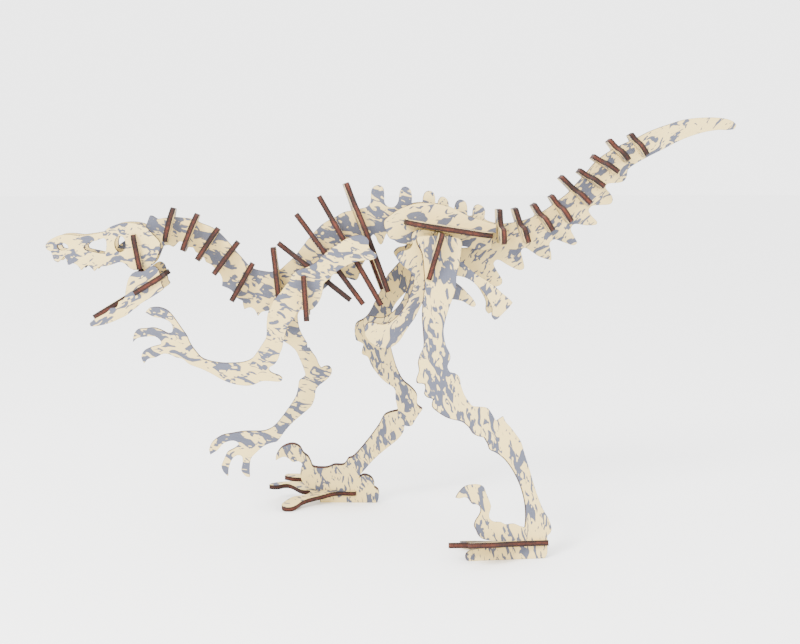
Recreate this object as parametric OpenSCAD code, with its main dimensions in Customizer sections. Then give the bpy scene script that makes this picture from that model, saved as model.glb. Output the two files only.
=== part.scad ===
// Slot-together plywood skeleton of a running two-legged dinosaur.
// Every piece is a flat board; boards cross each other at right angles and
// hold by half-depth slots, so the whole model comes apart without glue.
// X runs from nose (-) to tail (+), Y across the body, Z up; feet on Z = 0.

/* [Board] */
// Thickness of the plywood board
board_t = 3; // [2.6:0.1:3.2]
// Extra width cut in each slot so that boards slide together
slot_fit = 0.1; // [0.06:0.02:0.3]
// Length of one straight step along a curved outline
curve_step = 1.6; // [1.2:0.1:3]

/* [Head] */
// Distance from the middle to each skull board
skull_y = 7; // [6:0.5:9]
// Distance from the middle to each jaw board
jaw_y = 15.5; // [14.5:0.5:17]
// Half width of the skull cross piece
skull_cross_half = 12; // [11:0.5:13.5]

/* [Body] */
// Half width of the neck vertebrae
neck_half = 9.5; // [9:0.5:12]
// Half width of the ribs
rib_half = 15.5; // [13:0.5:16]
// Half width of the rib heads above the spine
rib_head_half = 6; // [5:0.5:8]
// Distance from the middle to each arm board
arm_y = 18.5; // [18:0.5:21]
// Half width of the shoulder cross piece
shoulder_half = 26; // [25:0.5:30]

/* [Hips] */
// Distance from the middle to each ilium board
ilium_y = 7; // [6:0.5:8]
// Distance from the middle to each pubis board
pubis_y = 15.4; // [14.5:0.1:15.4]
// Half width of the level hip board
hip_plate_half = 24; // [20:0.5:25]
// Half width of the upright hip cross piece
hip_cross_half = 31; // [30:0.5:34]
// Distance from the middle to each leg at its hip slot
leg_y = 22; // [21.8:0.1:23]
// Outward lean of each leg, in degrees
leg_splay = 15; // [13:0.5:16]

/* [Tail] */
// Half width of the first tail vertebra
tail_half_first = 22; // [17:0.5:23]
// Half width of the last tail vertebra
tail_half_last = 13; // [10:0.5:14]

/* [Hidden] */

t = board_t;
w = board_t + slot_fit;             // slot width
// origin under the middle of the whole model, soles on Z = 0; the feet reach
// out a little further on the left than on the right
x_mid = -1.95;
y_mid = -4.05;

// ---- outline helpers -------------------------------------------------
// An outline is a closed list of [x, z] points; a third value marks a sharp
// corner, every other point is passed by a smooth curve.
function seg(a, b) = norm([b[0] - a[0], b[1] - a[1]]);
function tang(p, i, n) =
    let (a = p[(i + n - 1) % n], b = p[i % n], c = p[(i + 1) % n],
         l = seg(a, b) + seg(b, c))
    [(c[0] - a[0]) / l, (c[1] - a[1]) / l];
function dirn(a, b) = let (l = seg(a, b)) [(b[0] - a[0]) / l, (b[1] - a[1]) / l];
function herm(a, b, ta, tb, l, s) =
    let (s2 = s * s, s3 = s2 * s,
         h0 = 2 * s3 - 3 * s2 + 1, h1 = s3 - 2 * s2 + s,
         h2 = 3 * s2 - 2 * s3, h3 = s3 - s2)
    [h0 * a[0] + h1 * l * ta[0] + h2 * b[0] + h3 * l * tb[0],
     h0 * a[1] + h1 * l * ta[1] + h2 * b[1] + h3 * l * tb[1]];
function curve(p) =
    let (n = len(p))
    [for (i = [0 : n - 1])
        let (a = p[i], b = p[(i + 1) % n], l = seg(a, b),
             ca = len(a) > 2, cb = len(b) > 2,
             ta = ca ? dirn(a, b) : tang(p, i, n),
             tb = cb ? dirn(a, b) : tang(p, i + 1, n),
             k = (ca && cb) ? 1 : max(1, min(6, ceil(l / curve_step))))
        for (j = [0 : k - 1]) herm(a, b, ta, tb, l, j / k)];

// mirror an outline about x = 0, in reverse order, to close a half outline
function both(h) = concat(h, [for (i = [len(h) - 1 : -1 : 0])
    len(h[i]) > 2 ? [-h[i][0], h[i][1], 1] : [-h[i][0], h[i][1]]]);

// ---- placing ---------------------------------------------------------
module placed() translate([x_mid, y_mid, lift]) children();
// a board in the length-and-height plane, middle at y
module upright(y, p) translate([0, y, 0]) rotate([90, 0, 0])
    linear_extrude(height = t, center = true) polygon(curve(p));
// frame of a cross board: origin at its low end, local Z along it, local X
// through its thickness
module crossed(top, low, turn = 0)
    translate([low[0], 0, low[1]])
        rotate([0, atan2(top[0] - low[0], top[1] - low[1]), 0])
            rotate([0, 0, turn]) children();
// board drawn across the body in that frame, h from the low end
module cross_board(top, low, turn = 0)
    crossed(top, low, turn) rotate([90, 0, 90])
        linear_extrude(height = t, center = true) children();
// slot that receives a cross board, from height a to b along it
module slot(c, a, b, y = 0) crossed(c[0], c[1])
    let (s = w + slack(c)) translate([-s / 2, y - 5, a]) cube([s, 10, b - a]);
// two-dimensional slot in a cross board
module notch(y, a, b, s = w) translate([y - s / 2, a]) square([s, b - a]);
// extra slot width that lets a board turn
function slack(c) = len(c) > 3 ? t * tan(abs(c[3])) + 0.02 : 0;
function span(c) = seg(c[0], c[1]);

// ---- cross boards: [top end, low end, seat] --------------------------
// the seat is where the two half slots meet, measured up from the low end
neck = [[[-121.6, 185.4], [-126.2, 166.8], 7],
        [[-108.4, 182], [-116.7, 161.6], 10],
        [[-97, 174], [-108.8, 156.4], 11],
        [[-86, 166.4], [-99.7, 148.4], 9.5],
        [[-78, 154.2], [-90, 133.2], 12]];
// the last number is how far a rib has turned on its own long axis
ribs = [[[-66.4, 163.3], [-61.4, 122], 17, 0],
        [[-63.6, 165.8], [-23.8, 133.8], 28, 4.4],
        [[-53.3, 182], [-16.6, 131.9], 32, 2.7],
        [[-40.5, 192], [-6.2, 131.6], 40, 1],
        [[-25.5, 199.3], [-3.3, 138.7], 38, 5]];
tail = [[[61, 184.5], [61.8, 165.7], 5.5],
        [[69.8, 185], [75.7, 166.4], 6],
        [[80.4, 187.3], [89.4, 172.9], 6],
        [[90.4, 192.1], [100, 177.9], 6.3],
        [[95.8, 202.7], [110.9, 187.8], 6],
        [[106, 206.3], [118.7, 197.3], 5.5],
        [[113.8, 214.2], [126.7, 205.3], 6],
        [[122.8, 223.2], [132.5, 211.8], 4.5],
        [[135, 226.6], [142.8, 214.7], 5]];
skull_c = [[-143, 171.2], [-137.1, 138], 23.8];
shoulder_c = [[-49, 149], [-47.5, 123.6], 16];
hip_c = [[26.9, 172.4], [19.3, 147.3], 13.2];
// height on the hip cross piece where spine and ilium rest
hip_seat_top = 21.8;

// ---- level hip board and jaw board -----------------------------------
// each is a board seen edge-on from the side: front end, rear end
hip_line = [[7.2, 178.1], [57, 170.2]];
tongue_line = [[-167, 124.4], [-123, 151]];
// local X along the line from its front end, Y across, Z through the board
module along(l) translate([l[0][0], 0, l[0][1]])
    rotate([0, -atan2(l[1][1] - l[0][1], l[1][0] - l[0][0]), 0]) children();
// slot that receives such a board, from a to b along it
module level_slot(l, a, b, y = 0) along(l)
    translate([a, y - 5, -w / 2]) cube([b - a, 10, w]);

// ---- legs ------------------------------------------------------------
hip_pivot = [23.5, 160];
hip_tilt = atan2(7.3, 24.1);
// side -1 is the right leg, +1 the left leg; drawn upright, then leaned
module leg_frame(side)
    translate([hip_pivot[0], side * leg_y, hip_pivot[1]])
        rotate(a = side * leg_splay, v = [cos(hip_tilt), 0, -sin(hip_tilt)])
            translate([-hip_pivot[0], 0, -hip_pivot[1]]) children();
// height of a drawn point once the leg leans
lean_x = cos(hip_tilt) * sin(hip_tilt) * (cos(leg_splay) - 1);
lean_z = pow(sin(hip_tilt), 2) + pow(cos(hip_tilt), 2) * cos(leg_splay);
// drawn height of the floor
floor_z = -1;
lift = -floor_z;
// drawn height of a leg's sole; the board is cut level with the floor after
// leaning, so it is drawn a little longer
sole_spare = 1;
function sole(x) = hip_pivot[1]
    + (floor_z - hip_pivot[1] - lean_x * (x - hip_pivot[0])) / lean_z
    - sole_spare;

// ---- outlines --------------------------------------------------------
spine_front_pts = [
    [-134.5, 181.5], [-132, 180.5], [-130.5, 179.5], [-127, 180], [-121, 180.5],
    [-115.5, 180], [-111.5, 179.5], [-106, 177], [-100, 174.5], [-95.5, 171],
    [-91, 166], [-87, 161], [-83, 156.5], [-80, 153], [-76.5, 151], [-72, 150],
    [-67.5, 149.5], [-63, 150.5], [-59.5, 153.5], [-55.5, 157], [-52, 161],
    [-47, 167.5], [-43, 172], [-39, 176], [-35, 178.5], [-31, 180.5],
    [-26.5, 183], [-21.5, 184], [-17, 185], [-13.5, 186],
    [-11.5, 188.5], [-11, 195], [-9.5, 197.3], [-7, 198.2], [-4.5, 197],
    [-3.8, 194], [-3.6, 188.5], [-1.5, 186], [1.7, 185.8], [4, 188.5],
    [5.2, 194.5], [6.5, 196.8], [8.6, 197.3], [10.8, 195.8], [11.8, 192],
    [11.6, 187, 1], [17.8, 186.5, 1], [18.2, 191.5], [19.3, 194], [21.5, 195],
    [23.8, 194], [24.8, 191.5], [25, 186, 1], [26, 186, 1], [26.8, 189.5],
    [28.3, 191.5], [30.5, 191.2], [32.3, 188.8], [32.5, 184, 1],
    [36, 182.5, 1], [36.2, 187], [37.5, 189.3], [39.7, 190], [42, 188.7],
    [42.9, 186.5], [43.2, 181.5, 1], [43.3, 163.5, 1], [32, 164.5],
    [20, 164.5], [8, 165], [3.5, 166], [0, 169], [-2, 171.5], [-3.5, 169],
    [-4.5, 166], [-5.8, 164.7], [-7.3, 166], [-8.5, 169], [-10, 170.5],
    [-11.8, 168], [-13, 162], [-14, 157], [-15.5, 154.5], [-16.8, 152],
    [-18, 147.5], [-19.5, 144.8], [-23, 145.2], [-27.5, 147.5], [-31, 148.3],
    [-33, 148], [-34.5, 144.5], [-36, 141.5], [-38.3, 139.5], [-42, 137],
    [-47, 133.5], [-52.5, 131], [-58, 129.5], [-64, 128.5], [-70, 127.5],
    [-73, 127], [-75.3, 124.5, 1], [-77, 128], [-79, 129.5], [-81, 129.3],
    [-82.8, 128.5, 1], [-83.5, 130.5], [-83.8, 133.3, 1], [-87, 135],
    [-90, 139.3], [-95.3, 141.8, 1], [-95, 145.5], [-96.5, 149],
    [-101.3, 154], [-104, 155.3], [-105, 157.8], [-107, 159.5], [-109.8, 161.2],
    [-111, 163.5], [-114, 163.8], [-116.5, 166.3], [-118.2, 167], [-120, 165.8],
    [-122, 163.8], [-124, 164.8], [-127, 164.5], [-131, 161], [-136, 158],
    [-143, 157], [-150, 157.5], [-153.3, 160.5], [-152.5, 164.5], [-148, 168],
    [-142.5, 170.5], [-138, 174], [-136, 178.3]];

tail_spine_pts = [
    [43.6, 181, 1], [46, 181], [46.3, 184], [47.5, 186.5], [49.5, 187.3],
    [52, 186], [53.2, 183.5], [53, 179.3], [56.5, 177.5], [61, 176.5],
    [65, 176.5], [72, 177.5], [79, 179.5], [87, 183.7], [95.3, 189.7],
    [100.4, 193.7], [104.3, 198], [111, 205.5], [114.7, 210], [119.5, 214.3],
    [129, 220], [138, 224], [146.5, 228.3], [157.3, 232.2], [167.3, 235],
    [179, 236], [188, 235.5], [193, 234], [195.4, 231.7], [193.8, 229.3],
    [185, 229], [175, 227.2], [164, 223.3], [153, 217.7], [144, 213.2],
    [136.5, 208.8], [134, 206.5], [133.6, 203.5], [132.3, 200.7],
    [129.3, 199.4], [122.5, 198.7], [121.5, 196.5], [124.5, 193],
    [125.8, 189.5], [124.3, 187.3], [119, 186.8], [114, 186.3], [112, 183.8],
    [114, 180.5], [117, 177.3], [116.5, 175.7], [111, 175.3], [104, 176],
    [102, 173.2], [104.3, 168.5], [105.8, 165.3], [103.5, 164],
    [98, 165.8], [92.5, 167.3], [90, 165], [91, 159.5], [91.2, 155.6, 1],
    [85, 157.3], [80, 160.5], [76, 162.7], [73.8, 161], [75, 155.5],
    [75.6, 151], [73, 150], [67, 152.5], [60.5, 156], [58.2, 154],
    [60.5, 149], [63.2, 144.5], [62.8, 142], [60, 140.7], [56, 140.3],
    [50, 143.5], [44, 148], [38, 153], [34.5, 157], [34, 162.7, 1],
    [43.6, 162.7, 1]];

skull_pts = [
    [-191.5, 165], [-190.5, 167], [-188.5, 168.7], [-186, 170],
    [-182.7, 171.2], [-177, 171.2], [-172.5, 170.7], [-168, 171.2],
    [-162.7, 172], [-159.2, 173], [-156.7, 175], [-154.3, 176.2],
    [-150.7, 177.3], [-145.5, 177.7], [-140.7, 177.2], [-136.5, 175.5],
    [-132.2, 171], [-129, 167.5], [-128.3, 164.5], [-129.5, 161],
    [-131.5, 156.5], [-134.3, 153.5], [-137.7, 151.8], [-143.5, 151.6],
    [-146, 153], [-148.5, 155.3], [-151, 156], [-155, 154.7], [-158.5, 153.8],
    [-161, 153.6], [-163, 153], [-165, 151, 1], [-167, 153.2], [-169, 154.5],
    [-170.5, 153.3], [-172.3, 151.6, 1], [-173.5, 153.5], [-175.2, 155],
    [-177, 155.4], [-178.5, 154.5], [-179.5, 154.7, 1], [-180, 157],
    [-181.3, 159.3], [-182.5, 158], [-185, 156, 1], [-187, 157.2],
    [-187.8, 160], [-188.6, 162], [-190.5, 163]];
nostril_pts = [[-185.2, 165], [-184, 166.5], [-181.8, 166.8], [-179.3, 165.5],
    [-178.8, 164], [-181, 162.8], [-184, 163]];
cheek_hole_pts = [[-159.3, 169.3], [-163.5, 168], [-167.5, 167],
    [-170.5, 164.3], [-170, 163], [-165, 161.7], [-160.2, 160.8],
    [-158.6, 162], [-158, 165.5], [-158.3, 168.5]];

jaw_pts = [
    [-167, 122.8], [-164.3, 125.2, 1], [-161, 127], [-157.7, 128.8, 1],
    [-155.3, 131.3, 1], [-152, 131.8], [-150.8, 134.8, 1], [-147.5, 137],
    [-147, 140], [-146.2, 144], [-145, 147.8], [-143, 150.5], [-140.5, 151.5],
    [-137, 151.4], [-134.8, 153], [-132.8, 154.2], [-130.7, 154.2],
    [-129, 152.7], [-128.2, 150.5], [-127.6, 147], [-127, 143.7],
    [-126, 142], [-128.3, 140], [-133, 137], [-138.5, 133.8],
    [-142.5, 130.7], [-146.3, 127.5], [-151, 125.2], [-155.3, 123.3],
    [-159.7, 122], [-163.5, 121.3], [-166.5, 121.3]];

// shoulder blade, shared by both arms
blade_pts = [
    [-57, 146], [-54.7, 150.2], [-51.5, 152.3], [-47.5, 153.5], [-42.5, 156.2],
    [-39, 159.5], [-36.5, 161.7], [-32.8, 164.6], [-28.5, 167.4],
    [-24.5, 169.8], [-20.5, 171.1], [-17.2, 171.3], [-14.7, 170.2],
    [-13, 168], [-13.2, 165.6], [-12, 163.2], [-8.8, 160.6], [-9.2, 158.5],
    [-11.7, 157.6], [-17, 157.2], [-22, 156], [-26.2, 154], [-30.2, 151.6],
    [-33.5, 148.9], [-36.5, 146], [-38, 144.5], [-38.6, 140.6],
    [-39.7, 136.5], [-42.3, 132.3], [-45.5, 129.7], [-50, 130], [-54, 133],
    [-58, 139]];
// arm raised forward (right side)
arm_raised_pts = [
    [-46, 134], [-49.5, 130.5], [-52.5, 129], [-54.2, 125.5], [-57, 122.5],
    [-59, 118.5], [-60.3, 113.5], [-61.3, 108.5], [-62.4, 106],
    [-63.4, 103], [-65.6, 99.7], [-68.2, 98.2], [-68.5, 96.2], [-66.3, 94.6],
    [-63, 93.4], [-61.3, 91.8], [-61.9, 90.3], [-64, 90], [-68.6, 90.4],
    [-73, 90.3], [-76.7, 88.6], [-80.5, 87.9], [-87.5, 88.7], [-93.8, 91],
    [-100, 94.6], [-105.7, 97.5], [-112.5, 100.2], [-116, 103.2],
    [-119.4, 104], [-122.7, 105.6], [-126.3, 106.2], [-130.7, 104.2],
    [-135, 103.3], [-137.2, 100.8, 1], [-138.6, 103.5], [-138.3, 106],
    [-137, 108], [-132.6, 110], [-128, 111.3], [-127.8, 113], [-129.5, 115],
    [-132, 115.9], [-136, 115.7], [-140.5, 115], [-143.1, 112.7, 1],
    [-142.5, 117], [-140.5, 119.7], [-136, 120.2], [-131.7, 120.6],
    [-127.3, 119.2], [-124, 117.5], [-121.7, 118], [-121.2, 121],
    [-122.8, 123.9], [-126.5, 125.7], [-131.5, 126.7], [-135.9, 129.1, 1],
    [-134, 131.4], [-129, 132], [-124.5, 130.5], [-121.5, 127.6],
    [-118.5, 123.3], [-116, 119.5], [-113.6, 116], [-111.8, 111.7],
    [-108.7, 107.1], [-105, 103.3], [-97, 101], [-88.6, 100.6],
    [-82.3, 101.2], [-78, 103], [-75.3, 106.3], [-72.8, 110], [-70, 115],
    [-69.6, 122.5], [-68.8, 128.6], [-67, 132], [-66, 135.2], [-64, 137.3],
    [-62, 139.6], [-59.5, 143], [-57, 145.5], [-50, 143]];
// arm reaching down (left side)
arm_lowered_pts = [
    [-45, 136], [-45.5, 131.5], [-49, 128.3], [-53, 124], [-53, 117.7], [-51.5, 112.4],
    [-48.5, 107], [-45.8, 102], [-42.8, 97.5], [-41.2, 93.5], [-40, 91.7, 1],
    [-37.8, 92.7], [-35.5, 92.8], [-33.9, 91], [-33.9, 88.7],
    [-35.7, 86], [-38.7, 83.4], [-41.5, 81.2], [-43.2, 78.8], [-43.8, 74.2],
    [-45.9, 69.3], [-50.8, 64.8], [-57.3, 59.2], [-62.3, 53.3], [-66, 48.5],
    [-69.5, 47.6], [-73.7, 45.9], [-78, 42.2], [-81.4, 38.3], [-82.3, 32],
    [-82.2, 27.4, 1], [-84.3, 27.8], [-87, 31.3], [-86.2, 36.5],
    [-86.6, 39.8], [-88.5, 40.6], [-91, 39.7], [-93, 37], [-94.6, 32],
    [-94.9, 28, 1], [-97.4, 30.6], [-98.6, 34], [-97.4, 37.3],
    [-95, 42.2], [-90.5, 44.8], [-88.3, 47.3], [-91.3, 49.2], [-97, 47.8],
    [-100.7, 43.8], [-105, 41, 1], [-105.6, 44.4], [-103.5, 48.6],
    [-98.4, 52.2], [-92.8, 53.4], [-85, 54.6], [-74.3, 54.7], [-69.5, 56.3],
    [-65.8, 59.4], [-60, 67], [-55.2, 74.3], [-53.6, 79.5], [-52.7, 84.3],
    [-49.3, 87.2], [-50.5, 92.4], [-52.5, 97.5], [-54.6, 102], [-58, 105.3],
    [-62, 108], [-65, 112.5], [-66, 119], [-65, 127], [-62.5, 135],
    [-57, 142], [-50, 143]];

ilium_pts = [
    [-4.2, 176.8], [-3.6, 179], [2.5, 183.8], [9.3, 186.9], [15.5, 188.3],
    [24.3, 188], [32.8, 186.2], [39.5, 182.8], [44, 180.8], [51, 178.6],
    [58.5, 176.3, 1], [58.6, 170.5, 1], [56.4, 168.5, 1], [56.3, 163, 1],
    [52, 161.8], [47, 162.5], [40, 164.2], [30, 165], [20, 165.2],
    [10, 165.6], [4, 166.2], [1.5, 167.7], [-1, 168.5], [-2, 170.5],
    [-3.4, 173.8]];

pubis_pts = [
    [11, 171.3], [12.3, 173], [14.5, 174], [19, 173.8], [24, 172.9],
    [30, 171.7], [33.5, 170.5], [35.5, 167.5], [35.8, 162], [37.5, 157.8],
    [41.5, 153.6], [45.5, 150.2], [49, 147.8], [52.5, 145.6], [57, 142.5],
    [61, 138.8], [65, 135.5], [67.3, 133.2, 1], [65.5, 130.7], [62.3, 127.5],
    [58.7, 123.9], [57.2, 123.4], [55.8, 125.5], [55.9, 130], [53.5, 135.3],
    [51.3, 138.7], [48.5, 141.6], [45.4, 144.4], [42.5, 146.4],
    [39.5, 147.6], [36, 148.2], [33.3, 147], [33.5, 144], [36.5, 142.5],
    [40, 140.3], [44, 136.6], [46.7, 132.3], [45.8, 130.9], [43.5, 131.4],
    [40, 133.7], [36, 134.8], [31, 135.7], [26, 139], [21.5, 139],
    [16.8, 133], [12.8, 125.2], [7.8, 118], [4, 112], [0, 108.8],
    [-5, 108], [-10.5, 110], [-14.5, 114], [-15.5, 119], [-13.8, 122],
    [-10.5, 122.3], [-7.3, 121.5], [-4, 121.4], [1, 124], [6.7, 130.5],
    [10.3, 138.5], [11.9, 143.7], [12, 147.7], [9.7, 151], [6.7, 153.3],
    [4.3, 155.7], [2.2, 159], [3.5, 161.3], [5.8, 162.4], [8.3, 162.8],
    [10.4, 164.3], [11.3, 166.3], [10.8, 168.5]];

// trailing leg (right side), from the hip down the front, round the foot and
// back up; points on the sole follow the floor
leg_right_pts = [
    [14, 170.3], [13.2, 168.5], [14.2, 165.3], [15.5, 163], [16.4, 160],
    [17, 152], [17.2, 143.5], [16, 134.7], [15.4, 126], [15.8, 117],
    [15.8, 109.5], [13.7, 105.2], [12.6, 101], [13, 96.5], [11.5, 92],
    [11.8, 89.8], [15.7, 89.2], [16.3, 87.2], [15.6, 84], [17.2, 82],
    [20.3, 81, 1], [19.8, 76.8], [24, 73], [28.5, 70.4], [36, 68.3],
    [39.5, 65.5], [41.8, 62], [44.5, 60.5], [47.8, 59.7, 1], [49.8, 56],
    [50.7, 53.2], [54.7, 51], [58.8, 47.7], [62.8, 42.2], [66, 35.7],
    [68, 29.7], [69.2, 22.8], [69.3, 15.8], [68.7, 10.8, 1], [65.3, 11.8],
    [62.5, 13], [58, 12.6], [55.3, 14], [51.2, 14.4], [49.3, 16],
    [49, 18], [50.2, 22.3], [49.2, 26], [47.8, 29.6], [46.5, 33],
    [43.6, 34.4], [39.3, 34.4], [35.8, 33.2], [32.7, 30], [31.3, 27.6, 1],
    [33.2, 27], [35.4, 27.5], [37.8, 27.3], [39.3, 25.3], [40.8, 23.7],
    [43, 23.6], [44.5, 22.5], [44.8, 20.5], [43.8, 18], [41.8, 15.2],
    [41, 12.3], [42, 10], [43, 7.5], [45, 5.4], [48, 4.4], [53, 4, 1],
    [53, 0.4, 1], [47, 0.3], [41, -0.2], [37.3, -1.2], [35.7, -3.3],
    [36.5, sole(36.5) + 0.9], [39, sole(39), 1], [78, sole(78), 1],
    [79.8, -4.6], [80.4, -2.5], [80.6, 3.5], [80.7, 6], [82.5, 7.5],
    [83.2, 10], [81.7, 15], [78.4, 21.1], [75, 30.8], [72, 42], [69.5, 51],
    [67.6, 57.4], [65, 61.3], [62.2, 65.1], [59.8, 67.8], [58.4, 71, 1],
    [56, 69.5], [54.3, 68.5, 1], [52, 72.8], [49.8, 75.6], [45, 76.4],
    [41.6, 76.8], [39.8, 79], [37.5, 82.5], [35.6, 88], [34.8, 92.6],
    [32.5, 94.8], [29.8, 95.4], [28.5, 98.5], [30.1, 102.5], [30, 105.2],
    [27.8, 110.4], [26.8, 117], [27.5, 122], [29.9, 129.8], [33, 137.7],
    [34.4, 143], [34.8, 148], [36.6, 155.5], [37.8, 163], [38.3, 167],
    [36.8, 169.2], [32, 170.4], [24, 170.9]];

// leading leg (left side)
leg_left_pts = [
    [14, 170.3], [12.5, 167], [10.5, 159.5], [6, 152.5], [2.8, 148.6],
    [-1.2, 143.5], [-5.5, 133.7], [-8.5, 127.2], [-12.5, 119.3],
    [-15.5, 116.3], [-19, 114.4], [-20.4, 112], [-20.5, 107],
    [-19.8, 103.3, 1], [-15.3, 100.7], [-16.2, 97], [-16.2, 94.3],
    [-13, 92.7], [-10.5, 86.7], [-5.7, 79.8], [-2.2, 76.2], [3.3, 71.8],
    [3.8, 65.8], [4.9, 60], [5.4, 57.3, 1], [0.2, 55.8], [-3, 53.8],
    [-6.5, 47], [-13.8, 36], [-22, 25.7], [-25.3, 24.2, 1], [-28, 20],
    [-34, 19.6], [-38, 17.8], [-43, 17.5], [-47.3, 18.3], [-48.6, 21.6],
    [-50.2, 25], [-53, 27.5], [-54.7, 31], [-57.5, 33.2], [-61.5, 33.4],
    [-66.3, 31], [-69.7, 26.2], [-70.2, 22.3, 1], [-67.3, 24.2],
    [-64.5, 25], [-62, 23.7], [-59.7, 21.5], [-56, 22], [-53.8, 20],
    [-54.5, 17.2], [-55.2, 13.7], [-54.6, 9.5], [-52.8, 6], [-49, 3.6],
    [-44.5, 2, 1], [-40, 1.9, 1], [-40, -1.7, 1], [-43.5, -2, 1],
    [-43.8, -4], [-42.3, sole(-42.3) + 0.4], [-40.5, sole(-40.5), 1],
    [-9, sole(-9), 1], [-7.2, -5.2], [-6.4, -1.5], [-7, 2.8],
    [-9.4, 4.6, 1], [-9.3, 7], [-10.6, 10.5], [-13.3, 12.5],
    [-16.5, 12.8], [-19, 10.9, 1], [-17.5, 14], [-15.5, 16.4], [-9.7, 23.8],
    [-3.2, 30.3], [5, 37.8], [8.7, 43.2], [9.3, 47.5, 1], [12, 47],
    [14, 47.7], [16.5, 52.5], [20.2, 58.4, 1], [17, 61.2], [16.8, 67.5],
    [13.9, 72], [8.5, 77], [5, 83.7], [2.6, 91.5], [1, 98.6], [0.5, 110],
    [1.4, 120.4], [3.5, 126.5], [9.9, 134.4], [17, 141.5], [25, 148],
    [32, 155], [36.5, 162], [38.2, 167], [36.8, 169.2], [32, 170.4],
    [24, 170.9]];

// three toes, length along X from the heel end
foot_pts = [
    [0.4, 2.8], [10, 2.9], [15, 4.3], [19, 6.8], [23.5, 9.5], [27, 11.4],
    [30, 13.6], [33, 16.8], [35.4, 21], [38, 23.6], [41.5, 24.2], [44, 22.6],
    [44.6, 20.2], [43, 16.6], [41, 13.4], [38.3, 10.4], [34, 8.8],
    [30.6, 7], [28.6, 4.4], [28.8, 2.3], [31, 2], [34, 1.6], [36.7, -0.6],
    [39.7, -3.7], [43, -5.8], [46, -5.7], [49, -4.1], [52.3, -3.8],
    [55.1, -4.6, 1], [54, -6.6], [50, -8.2], [46.5, -9.1], [42, -9.6],
    [37.5, -9.3], [33.5, -9.4], [32.6, -11.5], [34.5, -14.2], [39, -14.8],
    [42, -15.2], [46.6, -17, 1], [45.6, -19.4], [41, -20.2], [35, -19.6],
    [29.5, -15.6], [24, -10.2], [18, -6.8], [10, -4.4], [0.4, -3.2],
    [0, 0, 1]];

// ---- pieces ----------------------------------------------------------
cream = [0.90, 0.85, 0.74];

module spine_front() color(cream) placed() difference() {
    upright(0, spine_front_pts);
    for (c = neck) slot(c, c[2], span(c) + 12);
    for (c = ribs) slot(c, c[2], span(c) + 8);
    slot(skull_c, -5, skull_c[2]);
    slot(shoulder_c, -5, shoulder_c[2]);
    slot(hip_c, -5, hip_seat_top);
    level_slot(hip_line, 18.5, 60);
}
module tail_spine() color(cream) placed() difference() {
    upright(0, tail_spine_pts);
    for (c = tail) slot(c, c[2], span(c) + 6);
    level_slot(hip_line, 20, 43.5);
}

module skull(side) color(cream) placed() difference() {
    upright(side * skull_y, skull_pts);
    upright_hole(side * skull_y, nostril_pts);
    upright_hole(side * skull_y, cheek_hole_pts);
    translate([-150.5, side * skull_y, 166]) rotate([90, 0, 0])
        linear_extrude(height = 2 * t, center = true)
            scale([0.69, 1]) circle(d = 9, $fn = 32);
    slot(skull_c, -5, skull_c[2], side * skull_y);
}
module upright_hole(y, p) translate([0, y, 0]) rotate([90, 0, 0])
    linear_extrude(height = 2 * t, center = true) polygon(curve(p));
module skull_left() skull(1);
module skull_right() skull(-1);

// upper part carries spine and skull, the narrow stem goes through the
// jaw board
module skull_crosspiece() color(cream) placed()
    cross_board(skull_c[0], skull_c[1]) difference() {
        polygon(curve(both([[6.5, 0, 1], [7.3, 2, 1], [7.3, 14, 1],
            [9, 14.2, 1], [skull_cross_half, 14.4, 1],
            [skull_cross_half, span(skull_c) - 2, 1],
            [skull_cross_half - 2, span(skull_c), 1]])));
        for (y = [-skull_y, 0, skull_y]) notch(y, skull_c[2], 50);
    }

module jaw(side) color(cream) placed() difference() {
    upright(side * jaw_y, jaw_pts);
    level_slot(tongue_line, jaw_seat, 60, side * jaw_y);
}
// where the half slots of jaw and tongue board meet
jaw_seat = 39.5;
module jaw_left() jaw(1);
module jaw_right() jaw(-1);

module jaw_tongue() color(cream) placed() difference() {
    along(tongue_line) linear_extrude(height = t, center = true) difference() {
        polygon(curve([[0.6, 3.5], [6, 6.5], [14, 9], [22, 10.5],
            [28.5, 11, 1], [28.8, 17], [30.5, 18.6], [45.5, 18.6], [47.2, 17.6],
            [47.5, 15, 1], [45, 11, 1], [44, 0], [45, -11, 1], [47.5, -15, 1],
            [47.2, -17.6], [45.5, -18.6], [30.5, -18.6], [28.8, -17],
            [28.5, -11, 1], [22, -10.5], [14, -9], [6, -6.5], [0.6, -3.5],
            [-0.4, 0]]));
        for (s = [-1, 1]) translate([20, s * jaw_y - w / 2])
            square([jaw_seat - 20, w]);
    }
    // window for the stem of the skull cross piece
    crossed(skull_c[0], skull_c[1])
        translate([-w / 2, -7.4, -5]) cube([w, 14.8, 30]);
}

// neck vertebra: a rounded tablet, open below to straddle the spine
module neck_vertebra(i) color(cream) placed()
    cross_board(neck[i][0], neck[i][1]) let (l = span(neck[i])) difference() {
        polygon(curve(both([[neck_half - 4.5, 0.2], [neck_half - 1, 2],
            [neck_half, 6], [neck_half, l * 0.55], [neck_half - 1.5, l * 0.75],
            [neck_half - 4, l - 2], [neck_half - 6.5, l]])));
        notch(0, -1, neck[i][2]);
    }
module neck_vertebra_1() neck_vertebra(0);
module neck_vertebra_2() neck_vertebra(1);
module neck_vertebra_3() neck_vertebra(2);
module neck_vertebra_4() neck_vertebra(3);
module neck_vertebra_5() neck_vertebra(4);

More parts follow.
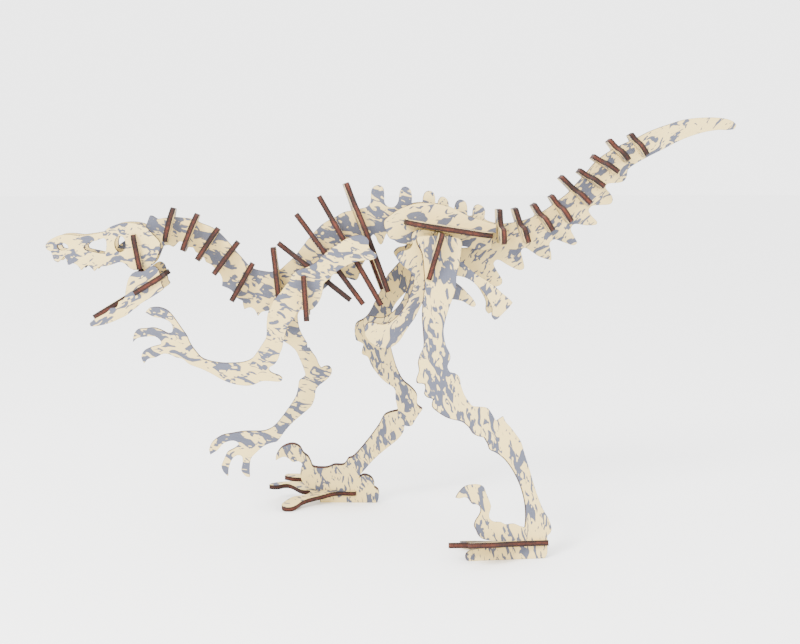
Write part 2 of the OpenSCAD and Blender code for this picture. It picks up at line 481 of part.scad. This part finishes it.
// rib: a head above the spine and two legs hanging beside the chest
module rib(i) color(cream) placed()
    cross_board(ribs[i][0], ribs[i][1], ribs[i][3])
    let (l = span(ribs[i]), s = ribs[i][2], g = max(s - 11, 6)) difference() {
        polygon(curve(both([[rib_half - 4.5, 0, 1], [rib_half - 1.2, 0, 1],
            [rib_half, g * 0.5], [rib_half, g + 2], [rib_half - 1.5, s],
            [rib_half - 5, s + (l - s) * 0.35],
            [rib_head_half + 0.5, s + (l - s) * 0.65],
            [rib_head_half, l - 2, 1], [rib_head_half - 1.5, l, 1]])));
        // hollow between the two legs
        polygon(curve(both([[rib_half - 5, -1, 1], [rib_half - 4.5, g * 0.35],
            [rib_half - 5.5, g * 0.75], [rib_half - 9.5, g],
            [1, g + 0.8]])));
        notch(0, g - 2, s, w + slack(ribs[i]));
    }
module rib_1() rib(0);
module rib_2() rib(1);
module rib_3() rib(2);
module rib_4() rib(3);
module rib_5() rib(4);

module shoulder_crosspiece() color(cream) placed()
    cross_board(shoulder_c[0], shoulder_c[1]) let (l = span(shoulder_c))
    difference() {
        polygon(curve(both([[shoulder_half - 6, 0, 1], [shoulder_half - 1.5, 1],
            [shoulder_half, 4], [shoulder_half, l - 3],
            [shoulder_half - 1, l, 1]])));
        // arched underside
        polygon(curve(both([[12, -1, 1], [9, 5], [4, 7.5], [0.5, 8]])));
        for (y = [-arm_y, 0, arm_y]) notch(y, shoulder_c[2], 50);
    }
module arm(side, p) color(cream) placed() difference() {
    translate([0, side * arm_y, 0]) rotate([90, 0, 0])
        linear_extrude(height = t, center = true) union() {
            polygon(curve(blade_pts));
            polygon(curve(p));
        }
    slot(shoulder_c, -20, shoulder_c[2], side * arm_y);
}
module arm_left() arm(1, arm_lowered_pts);
module arm_right() arm(-1, arm_raised_pts);

module hip_plate() color(cream) placed() along(hip_line)
    linear_extrude(height = t, center = true) difference() {
        polygon(curve(both_y([[0, 12], [2, 18], [8, hip_plate_half - 0.5],
            [16, hip_plate_half], [34, hip_plate_half],
            [42, hip_plate_half - 0.5], [48, 18], [50, 12]])));
        // ilium boards enter from the front
        for (y = [-ilium_y, ilium_y]) translate([-1, y - w / 2]) square([26, w]);
        translate([-1, -w / 2]) square([19.5, w]);
        // tail spine enters from the rear
        translate([43.5, -w / 2]) square([10, w]);
    }
function both_y(h) = concat(h, [for (i = [len(h) - 1 : -1 : 0])
    [h[i][0], -h[i][1]]]);

module hip_crosspiece() color(cream) placed()
    cross_board(hip_c[0], hip_c[1]) let (l = span(hip_c)) difference() {
        polygon(curve(both([[10, 2], [14, 0.3], [24, 0, 1],
            [hip_cross_half - 1.5, 0, 1], [hip_cross_half, 1.5, 1],
            [hip_cross_half, l - 3, 1], [hip_cross_half - 3, l, 1]])));
        for (y = [-ilium_y, 0, ilium_y]) notch(y, hip_seat_top, 50);
        for (s = [-1, 1]) {
            notch(s * pubis_y, -5, hip_c[2]);
            translate([s * leg_y, hip_c[2]]) rotate(s * leg_splay)
                translate([-w / 2, -30]) square([w, 30]);
        }
    }
module ilium(side) color(cream) placed() difference() {
    upright(side * ilium_y, ilium_pts);
    slot(hip_c, -20, hip_seat_top, side * ilium_y);
    level_slot(hip_line, 25, 60, side * ilium_y);
}
module ilium_left() ilium(1);
module ilium_right() ilium(-1);
module pubis(side) color(cream) placed() difference() {
    upright(side * pubis_y, pubis_pts);
    slot(hip_c, hip_c[2], 50, side * pubis_y);
}
module pubis_left() pubis(1);
module pubis_right() pubis(-1);

// foot boards: heel end, height, direction 1 forward along -X
foot_r = [81, 2.2, 24];
foot_l = [-20.5, 0.7, 12];
module foot(side, f, seat) color(cream) placed() leg_frame(side)
    translate([f[0], 0, f[1]]) rotate([0, 0, 180])
        linear_extrude(height = t, center = true) difference() {
            polygon(curve([for (p = foot_pts) len(p) > 2
                ? [p[0], side * p[1], 1] : [p[0], side * p[1]]]));
            translate([-2, -w / 2]) square([seat + 2, w]);
        }
module foot_left() foot(1, foot_l, foot_l[2]);
module foot_right() foot(-1, foot_r, foot_r[2]);

module leg(side, p, f) color(cream) difference() {
    placed() leg_frame(side) difference() {
        upright(0, p);
        slot(hip_c, hip_c[2], 60);
        translate([f[0] - f[2] - 60, -5, f[1] - w / 2]) cube([60, 10, w]);
    }
    // sole level with the floor
    translate([-150, -150, -20]) cube([300, 300, 20]);
}
module leg_left() leg(1, leg_left_pts, foot_l);
module leg_right() leg(-1, leg_right_pts, foot_r);

// tail vertebra: narrow spine above, wide wings below
module tail_vertebra(i) color(cream) placed()
    cross_board(tail[i][0], tail[i][1])
    let (l = span(tail[i]), s = tail[i][2],
         wide = tail_half_first + (tail_half_last - tail_half_first) * i / 8,
         thin = 7 - i * 0.25) difference() {
        polygon(curve(both([[wide - 3, 0, 1], [wide - 0.5, 1], [wide, 3],
            [wide, s + 1.2], [wide - 1.5, s + 3], [thin + 3.5, s + 4.2],
            [thin + 0.8, s + 6], [thin, l - 1, 1], [thin - 1, l, 1]])));
        notch(0, -1, s);
    }
module tail_vertebra_1() tail_vertebra(0);
module tail_vertebra_2() tail_vertebra(1);
module tail_vertebra_3() tail_vertebra(2);
module tail_vertebra_4() tail_vertebra(3);
module tail_vertebra_5() tail_vertebra(4);
module tail_vertebra_6() tail_vertebra(5);
module tail_vertebra_7() tail_vertebra(6);
module tail_vertebra_8() tail_vertebra(7);
module tail_vertebra_9() tail_vertebra(8);

spine_front();
tail_spine();
skull_left();
skull_right();
skull_crosspiece();
jaw_left();
jaw_right();
jaw_tongue();
neck_vertebra_1();
neck_vertebra_2();
neck_vertebra_3();
neck_vertebra_4();
neck_vertebra_5();
rib_1();
rib_2();
rib_3();
rib_4();
rib_5();
shoulder_crosspiece();
arm_left();
arm_right();
hip_plate();
hip_crosspiece();
ilium_left();
ilium_right();
pubis_left();
pubis_right();
leg_left();
leg_right();
foot_left();
foot_right();
tail_vertebra_1();
tail_vertebra_2();
tail_vertebra_3();
tail_vertebra_4();
tail_vertebra_5();
tail_vertebra_6();
tail_vertebra_7();
tail_vertebra_8();
tail_vertebra_9();
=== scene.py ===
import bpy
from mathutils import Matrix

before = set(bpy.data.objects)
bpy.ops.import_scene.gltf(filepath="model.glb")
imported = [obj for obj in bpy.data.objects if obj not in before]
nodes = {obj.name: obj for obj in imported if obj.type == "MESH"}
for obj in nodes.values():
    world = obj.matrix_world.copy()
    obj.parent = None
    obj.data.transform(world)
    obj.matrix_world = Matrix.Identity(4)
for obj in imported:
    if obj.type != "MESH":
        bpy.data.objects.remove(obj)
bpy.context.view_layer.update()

import math
import bpy
import numpy as np
from mathutils import Vector

# ---------------------------------------------------------------- camera
cam_data = bpy.data.cameras.new("camera")
cam_data.lens = 63.0
cam_data.sensor_width = 36.0
cam_data.clip_start = 0.01
cam_data.clip_end = 50.0
cam = bpy.data.objects.new("camera", cam_data)
cam.location = (-0.03629, -0.79405, 0.21866)
cam.rotation_euler = (math.radians(83.0), 0.0, math.radians(-2.86))
bpy.context.scene.collection.objects.link(cam)
bpy.context.scene.camera = cam


# ---------------------------------------------------------------- board data
def board_axis(o):
    """The board's normal (the direction with the most face area) and the
    distance of its middle layer along that normal."""
    me = o.data
    tot = {}
    for p in me.polygons:
        n = p.normal
        k = (round(n.x, 2), round(n.y, 2), round(n.z, 2))
        if k < (0.0, 0.0, 0.0):
            k = (-k[0], -k[1], -k[2])
        k = tuple(0.0 if abs(c) < 0.005 else c for c in k)
        s = tot.setdefault(k, [0.0, Vector((0, 0, 0))])
        s[0] += p.area
        s[1] += n * p.area * (1 if n.dot(Vector(k)) > 0 else -1)
    best = max(tot.values(), key=lambda s: s[0])
    n = best[1].normalized()
    d = [v.co.dot(n) for v in me.vertices]
    return n, 0.5 * (min(d) + max(d))


def lin(r, g, b):
    f = lambda c: (c / 255 / 12.92) if c / 255 <= 0.04045 else ((c / 255 + 0.055) / 1.055) ** 2.4
    return (f(r), f(g), f(b), 1.0)


class Tree:
    """Small helper that adds and joins shader nodes."""

    def __init__(self, mat):
        self.t = mat.node_tree
        self.n = 0

    def add(self, kind, **kw):
        nd = self.t.nodes.new(kind)
        nd.location = (200 * (self.n % 12), -260 * (self.n // 12))
        self.n += 1
        for k, v in kw.items():
            setattr(nd, k, v)
        return nd

    def put(self, socket, value):
        if isinstance(value, bpy.types.NodeSocket):
            self.t.links.new(value, socket)
        else:
            socket.default_value = value

    def math(self, op, a, b=0.0, c=0.0, clamp=False):
        nd = self.add("ShaderNodeMath", operation=op, use_clamp=clamp)
        self.put(nd.inputs[0], a)
        self.put(nd.inputs[1], b)
        self.put(nd.inputs[2], c)
        return nd.outputs[0]

    def dot(self, a, b):
        nd = self.add("ShaderNodeVectorMath", operation="DOT_PRODUCT")
        self.put(nd.inputs[0], a)
        self.put(nd.inputs[1], b)
        return nd.outputs["Value"]

    def combine(self, x, y, z):
        nd = self.add("ShaderNodeCombineXYZ")
        for s, v in zip(nd.inputs, (x, y, z)):
            self.put(s, v)
        return nd.outputs[0]

    def noise(self, vec, scale, detail=2.0, rough=0.5, distort=0.0):
        nd = self.add("ShaderNodeTexNoise")
        self.put(nd.inputs["Vector"], vec)
        nd.inputs["Scale"].default_value = scale
        nd.inputs["Detail"].default_value = detail
        nd.inputs["Roughness"].default_value = rough
        nd.inputs["Distortion"].default_value = distort
        return nd.outputs["Fac"]

    def step(self, v, at, soft):
        nd = self.add("ShaderNodeMapRange", interpolation_type="SMOOTHSTEP")
        self.put(nd.inputs["Value"], v)
        nd.inputs["From Min"].default_value = at - soft
        nd.inputs["From Max"].default_value = at + soft
        return nd.outputs[0]

    def mix(self, fac, a, b, kind="MIX"):
        nd = self.add("ShaderNodeMix", data_type="RGBA", blend_type=kind)
        self.put(nd.inputs["Factor"], fac)
        self.put(nd.inputs[6], a)
        self.put(nd.inputs[7], b)
        return nd.outputs[2]


def printed_board(name, n, mid, along, size=1.0, cover=0.5, seed=0.0,
                  stretch=2.4, cream=(213, 191, 132)):
    """Plywood printed on both faces: cream with grey-blue blotches lying
    along the given direction, and laser-charred edges showing the plies."""
    mat = bpy.data.materials.new(name)
    mat.use_nodes = True
    mat.node_tree.nodes.clear()
    T = Tree(mat)
    n = Vector(n)
    u = Vector(along)
    u = (u - n * u.dot(n)).normalized()
    v = n.cross(u)
    tex = T.add("ShaderNodeTexCoord")
    geo = T.add("ShaderNodeNewGeometry")
    P = tex.outputs["Object"]
    pu, pv, pn = T.dot(P, tuple(u)), T.dot(P, tuple(v)), T.dot(P, tuple(n))
    w = T.math("SUBTRACT", pn, mid)
    # which of the two printed faces: keeps the two prints different
    side = T.math("SIGN", w)
    layer = T.math("MULTIPLY_ADD", side, 0.37, seed)

    # ---- blotches
    q = T.combine(T.math("DIVIDE", pu, stretch), pv, layer)
    bend = T.noise(T.combine(pu, pv, layer), 70.0 / size, 1.0)
    q2 = T.combine(T.math("DIVIDE", pu, stretch),
                   T.math("MULTIPLY_ADD", bend, 0.007 * size, pv), layer)
    big = T.noise(q2, 230.0 / size, 1.2, 0.42, 0.6)
    small = T.noise(q, 430.0 / size, 1.0, 0.4, 0.9)
    # ends of blotches are cut to points by a finer ripple
    rip = T.noise(T.combine(T.math("DIVIDE", pu, 3.2), pv, layer), 620.0 / size, 0.0)
    bigr = T.math("MULTIPLY_ADD", rip, 0.06, big)
    m1 = T.step(bigr, 0.660 - 0.10 * cover, 0.008)
    m2 = T.step(small, 0.655 - 0.05 * cover, 0.010)
    blot = T.math("MAXIMUM", m1, m2)
    # small cream islands inside the large blotches
    isl = T.step(T.noise(q, 620.0 / size, 0.0, 0.4, 0.6), 0.68, 0.01)
    blot = T.math("MULTIPLY", blot, T.math("SUBTRACT", 1.0, isl))

    # ---- print colours with slow drift and fine grain of the veneer
    drift = T.noise(P, 22.0, 2.0)
    grain = T.noise(T.combine(T.math("DIVIDE", pu, 14.0), pv, layer), 1500.0, 3.0, 0.6)
    speck = T.noise(P, 2600.0, 1.0)
    c_cream = T.mix(drift, lin(*cream), lin(cream[0] - 8, cream[1] - 12, cream[2] - 22))
    c_blue = T.mix(drift, lin(68, 71, 85), lin(81, 84, 98))
    g = T.step(grain, 0.58, 0.12)
    c_cream = T.mix(T.math("MULTIPLY", g, 0.16), c_cream, lin(190, 160, 112))
    c_blue = T.mix(T.math("MULTIPLY", g, 0.22), c_blue, lin(56, 59, 72))
    c_blue = T.mix(T.math("MULTIPLY", T.step(speck, 0.66, 0.05), 0.25), c_blue, lin(120, 122, 134))
    face = T.mix(blot, c_cream, c_blue)

    # ---- thin burnt line where a face meets the cut edge
    bev = T.add("ShaderNodeBevel", samples=4)
    bev.inputs["Radius"].default_value = 0.00042
    cosb = T.dot(bev.outputs["Normal"], geo.outputs["Normal"])
    burn = T.math("SUBTRACT", 1.0, T.step(cosb, 0.965, 0.03))
    wob = T.noise(P, 240.0, 1.0)
    burn = T.math("MULTIPLY", burn, T.math("MULTIPLY_ADD", wob, 0.9, 0.25, clamp=True))
    face = T.mix(burn, face, lin(54, 31, 20))

    # ---- charred edge: three plies, scorch streaks across the thickness
    ply = T.step(T.math("ABSOLUTE", w), 0.00052, 0.00008)
    run = T.noise(P, 900.0, 3.0, 0.65)
    scorch = T.noise(P, 75.0, 2.0, 0.6, 0.3)
    tone = T.step(T.math("ADD", T.math("MULTIPLY", run, 0.45), T.math("MULTIPLY", scorch, 0.55)), 0.52, 0.14)
    core = T.mix(tone, lin(36, 15, 9), lin(82, 36, 20))
    skin = T.mix(tone, lin(20, 9, 6), lin(46, 20, 12))
    edge = T.mix(ply, core, skin)
    edge = T.mix(T.step(T.noise(P, 2100.0, 2.0), 0.62, 0.05), edge, lin(12, 7, 5))

    # ---- face or edge, from the direction of the surface
    facing = T.math("ABSOLUTE", T.dot(tex.outputs["Normal"], tuple(n)))
    isface = T.step(facing, 0.86, 0.05)
    colour = T.mix(isface, edge, face)

    rough = T.math("MULTIPLY_ADD", isface, -0.22, 0.80)
    rough = T.math("MULTIPLY_ADD", grain, 0.12, rough)

    h = T.math("ADD", T.math("MULTIPLY", grain, T.math("MULTIPLY_ADD", isface, -0.4, 0.7)),
               T.math("MULTIPLY", run, T.math("SUBTRACT", 1.0, isface)))
    h = T.math("MULTIPLY_ADD", blot, 0.15, h)
    bump = T.add("ShaderNodeBump")
    bump.inputs["Strength"].default_value = 0.35
    bump.inputs["Distance"].default_value = 0.00012
    T.put(bump.inputs["Height"], h)

    bsdf = T.add("ShaderNodeBsdfPrincipled")
    T.put(bsdf.inputs["Base Color"], colour)
    T.put(bsdf.inputs["Roughness"], rough)
    T.put(bsdf.inputs["Normal"], bump.outputs["Normal"])
    bsdf.inputs["Specular IOR Level"].default_value = 0.32
    out = T.add("ShaderNodeOutputMaterial")
    T.put(out.inputs["Surface"], bsdf.outputs["BSDF"])
    return mat


# print of each board: direction the blotches lie along, size, cover
LOOK = {
    "spine_front": ((1, 0, -0.35), 1.25, 0.95, 2.0),
    "tail_spine": ((0.8, 0, 0.75), 0.95, 0.55, 2.2),
    "skull": ((1, 0, 0.1), 1.0, 0.6, 1.8),
    "jaw": ((1, 0, 0.6), 1.2, 0.9, 2.2),
    "arm": ((1, 0, -0.25), 1.15, 0.85, 2.2),
    "ilium": ((1, 0, 0.35), 1.45, 0.75, 2.0),
    "pubis": ((0.5, 0, 0.9), 1.15, 0.8, 2.0),
    "leg": ((-0.15, 0, 1), 0.95, 0.8, 2.6),
    "foot": ((1, 0, 0), 1.0, 0.7, 2.2),
}


def look_of(node):
    for k, v in LOOK.items():
        if node.startswith(k):
            return v
    return ((0, 0, 1), 1.1, 0.75, 2.0)


for i, (name, o) in enumerate(sorted(nodes.items())):
    n, mid = board_axis(o)
    along, size, cover, stretch = look_of(name)
    if abs(n.dot(Vector(along).normalized())) > 0.9:
        along = (1, 0, 0)
    mat = printed_board("print_" + name, n, mid, along, size, cover,
                        seed=0.731 * i, stretch=stretch)
    if o.material_slots:
        for s in o.material_slots:
            s.link = "OBJECT"
            s.material = mat
    else:
        o.data.materials.append(mat)
    bv = o.modifiers.new("eased_edge", "BEVEL")
    bv.width = 0.00014
    bv.segments = 2
    bv.limit_method = "ANGLE"
    bv.angle_limit = math.radians(50)

# ---------------------------------------------------------------- stage
floor_mat = bpy.data.materials.new("floor")
floor_mat.use_nodes = True
fb = floor_mat.node_tree.nodes["Principled BSDF"]
fb.inputs["Base Color"].default_value = (0.93, 0.93, 0.93, 1)
fb.inputs["Roughness"].default_value = 0.9
fb.inputs["Specular IOR Level"].default_value = 0.1
me = bpy.data.meshes.new("floor")
s = 6.0
me.from_pydata([(-s, -s, 0), (s, -s, 0), (s, s, 0), (-s, s, 0)], [], [(0, 1, 2, 3)])
floor = bpy.data.objects.new("floor", me)
me.materials.append(floor_mat)
bpy.context.scene.collection.objects.link(floor)

world = bpy.data.worlds.new("world")
world.use_nodes = True
bg = world.node_tree.nodes["Background"]
bg.inputs["Color"].default_value = (1.0, 1.0, 1.0, 1)
bg.inputs["Strength"].default_value = 3.7
bpy.context.scene.world = world


def area(name, loc, target, size, power, colour=(1, 1, 1)):
    d = bpy.data.lights.new(name, "AREA")
    d.size = size
    d.energy = power
    d.color = colour
    o = bpy.data.objects.new(name, d)
    o.location = loc
    o.rotation_euler = (Vector(target) - Vector(loc)).to_track_quat("-Z", "Y").to_euler()
    bpy.context.scene.collection.objects.link(o)
    return o


area("key", (-0.75, -0.95, 0.95), (0, 0, 0.14), 0.45, 40.0, (1.0, 0.985, 0.95))
area("fill", (0.9, -1.2, 0.5), (0, 0, 0.14), 1.2, 8.0, (0.97, 0.98, 1.0))
